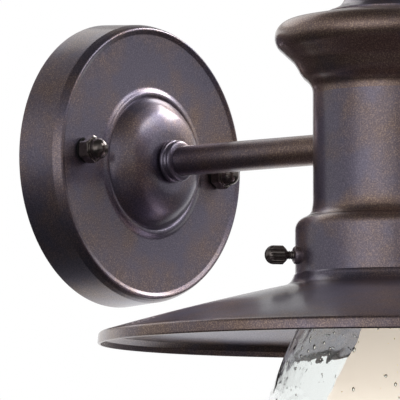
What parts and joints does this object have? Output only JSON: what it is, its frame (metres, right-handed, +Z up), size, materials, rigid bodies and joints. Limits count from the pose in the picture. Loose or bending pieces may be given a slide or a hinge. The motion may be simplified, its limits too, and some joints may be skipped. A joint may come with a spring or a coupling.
{
  "type": "outdoor wall lantern",
  "caption": "Wall lantern with a round domed back plate, straight tube arm, flared spun body, wide shallow shade and a seeded glass jar round a screw-base lamp.",
  "frame": {"origin": "centre of the back plate on the wall plane, on the arm's axis", "axes": "+Y into the wall, +Z up, +X along the wall; the lantern projects towards -Y"},
  "size_m": [0.254, 0.287, 0.2908],
  "materials": {
    "bronze": "satin rubbed bronze",
    "black_hardware": "black oxide",
    "zinc_steel": "zinc plated",
    "green_screw": "green dyed zinc",
    "copper": "bare copper",
    "brass": "plain brass",
    "porcelain": "glazed porcelain",
    "foam": "closed-cell foam",
    "rubber": "matt rubber",
    "tip_nylon": "natural nylon",
    "seeded_glass": "clear seeded glass",
    "frosted_glass": "frosted glass",
    "lamp_metal": "bare aluminium",
    "lamp_tip": "tinned contact",
    "black_lead": "black wire insulation",
    "white_lead": "white wire insulation"
  },
  "bodies": {
    "root": {"back_plate": "bronze", "wall_gasket": "foam", "box_bar": "zinc_steel", "fixture_bar": "zinc_steel", "bar_pivot": "zinc_steel", "ground_screw": "green_screw", "ground_lead": "copper", "mounting_studs": "zinc_steel", "stud_nuts": "zinc_steel", "arm_ferrule": "bronze", "arm_tube": "bronze", "arm_pipe": "zinc_steel", "pipe_washer": "zinc_steel", "pipe_nuts": "zinc_steel", "arm_saddle": "zinc_steel", "body_shell": "bronze", "crown": "bronze", "top_cap": "bronze", "fitter_collar": "bronze", "shade": "bronze", "screw_bosses": "bronze", "jar_neck": "seeded_glass", "jar_shoulder": "seeded_glass", "jar_base": "seeded_glass", "jar_foot": "seeded_glass", "jar_gasket": "rubber", "centre_rod": "zinc_steel", "rod_nut": "zinc_steel", "socket_strap": "zinc_steel", "socket_body": "porcelain", "socket_shell": "brass", "socket_contact": "brass", "terminal_screws": "brass", "hot_lead": "black_lead", "neutral_lead": "white_lead"},
    "nut_washer_1": {"cap_nut_washer_1": "rubber"},
    "cap_nut_1": {"cap_nut_1": "black_hardware"},
    "nut_washer_2": {"cap_nut_washer_2": "rubber"},
    "cap_nut_2": {"cap_nut_2": "black_hardware"},
    "screw_tip_1": {"screw_tip_1": "tip_nylon"},
    "thumbscrew_1": {"thumbscrew_1": "black_hardware"},
    "screw_tip_2": {"screw_tip_2": "tip_nylon"},
    "thumbscrew_2": {"thumbscrew_2": "black_hardware"},
    "screw_tip_3": {"screw_tip_3": "tip_nylon"},
    "thumbscrew_3": {"thumbscrew_3": "black_hardware"},
    "lamp_tip": {"lamp_contact": "lamp_tip"},
    "lamp": {"lamp_cap": "lamp_metal", "lamp_glass": "frosted_glass"},
    "finial_washer": {"finial_washer": "rubber"},
    "finial": {"finial": "bronze"}
  },
  "joints": [
    {"name": "cap_nut_1_travel", "type": "slide", "parent": "root", "child": "nut_washer_1", "axis": [0, -1, 0], "range_m": [0, 0.00556]},
    {"name": "cap_nut_1_turn", "type": "hinge", "parent": "nut_washer_1", "child": "cap_nut_1", "pos_m": [-0.04437, -0.0225, 0.00271], "axis": [0, -1, 0], "continuous": true},
    {"name": "cap_nut_2_travel", "type": "slide", "parent": "root", "child": "nut_washer_2", "axis": [0, -1, 0], "range_m": [0, 0.00556]},
    {"name": "cap_nut_2_turn", "type": "hinge", "parent": "nut_washer_2", "child": "cap_nut_2", "pos_m": [0.04437, -0.0225, -0.00271], "axis": [0, -1, 0], "continuous": true},
    {"name": "thumbscrew_1_travel", "type": "slide", "parent": "root", "child": "screw_tip_1", "axis": [-0.809, 0.5878, 0], "range_m": [0, 0.00596]},
    {"name": "thumbscrew_1_turn", "type": "hinge", "parent": "screw_tip_1", "child": "thumbscrew_1", "pos_m": [0, -0.16, -0.0483], "axis": [-0.809, 0.5878, 0], "continuous": true},
    {"name": "thumbscrew_2_travel", "type": "slide", "parent": "root", "child": "screw_tip_2", "axis": [-0.1045, -0.9945, 0], "range_m": [0, 0.00596]},
    {"name": "thumbscrew_2_turn", "type": "hinge", "parent": "screw_tip_2", "child": "thumbscrew_2", "pos_m": [0, -0.16, -0.0483], "axis": [-0.1045, -0.9945, 0], "continuous": true},
    {"name": "thumbscrew_3_travel", "type": "slide", "parent": "root", "child": "screw_tip_3", "axis": [0.9135, 0.4067, 0], "range_m": [0, 0.00596]},
    {"name": "thumbscrew_3_turn", "type": "hinge", "parent": "screw_tip_3", "child": "thumbscrew_3", "pos_m": [0, -0.16, -0.0483], "axis": [0.9135, 0.4067, 0], "continuous": true},
    {"name": "lamp_travel", "type": "slide", "parent": "root", "child": "lamp_tip", "axis": [0, 0, -1], "range_m": [0, 0.01457]},
    {"name": "lamp_turn", "type": "hinge", "parent": "lamp_tip", "child": "lamp", "pos_m": [0, -0.16, -0.09], "axis": [0, 0, -1], "range_deg": [0, 1440]},
    {"name": "finial_travel", "type": "slide", "parent": "root", "child": "finial_washer", "axis": [0, 0, 1], "range_m": [0, 0.00753]},
    {"name": "finial_turn", "type": "hinge", "parent": "finial_washer", "child": "finial", "pos_m": [0, -0.16, 0.08], "axis": [0, 0, 1], "continuous": true}
  ],
  "couplings": [
    {"joint": "cap_nut_1_turn", "follows": "cap_nut_1_travel", "rad_per_m": 7913.3},
    {"joint": "cap_nut_2_turn", "follows": "cap_nut_2_travel", "rad_per_m": 7913.3},
    {"joint": "thumbscrew_1_turn", "follows": "thumbscrew_1_travel", "rad_per_m": 7913.3},
    {"joint": "thumbscrew_2_turn", "follows": "thumbscrew_2_travel", "rad_per_m": 7913.3},
    {"joint": "thumbscrew_3_turn", "follows": "thumbscrew_3_travel", "rad_per_m": 7913.3},
    {"joint": "lamp_travel", "follows": "lamp_turn", "m_per_rad": 0.00057757},
    {"joint": "finial_turn", "follows": "finial_travel", "rad_per_m": 6677.1}
  ]
}
